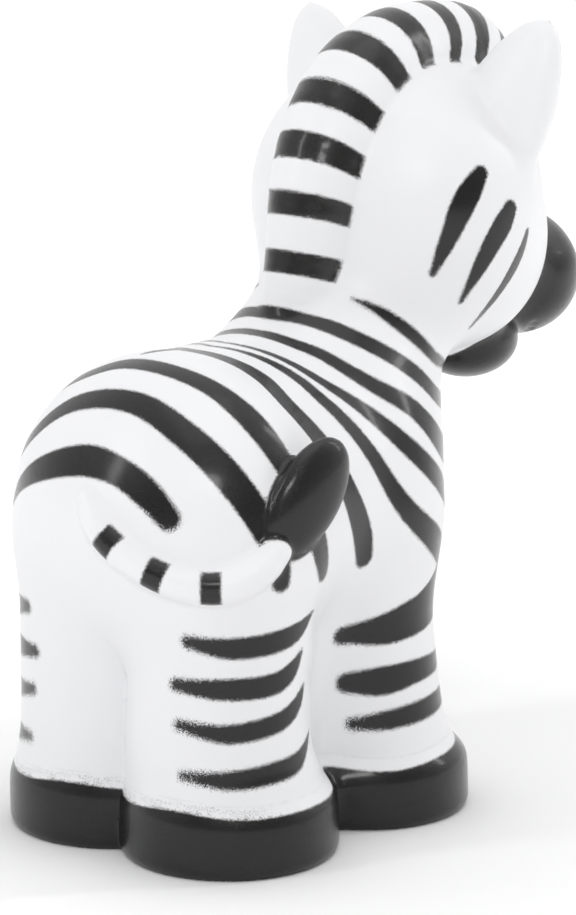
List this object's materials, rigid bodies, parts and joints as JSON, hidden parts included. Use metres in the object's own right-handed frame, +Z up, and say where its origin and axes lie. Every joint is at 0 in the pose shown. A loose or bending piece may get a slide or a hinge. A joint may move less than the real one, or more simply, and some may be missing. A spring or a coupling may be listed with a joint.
{
  "type": "zebra figurine",
  "caption": "Stocky toy zebra standing on four joined hooves, with a raised mane and a tail curled to its flank.",
  "frame": {"origin": "middle of the figure's box in plan, on the floor plane under the hooves", "axes": "+Z up through the back, -Y the way the zebra faces, +X to the zebra's left"},
  "size_m": [0.0408, 0.0823, 0.0855],
  "materials": {
    "painted_vinyl": "soft gloss white vinyl with sprayed black stripes and hooves"
  },
  "bodies": {
    "root": {"zebra": "painted_vinyl"}
  },
  "joints": []
}
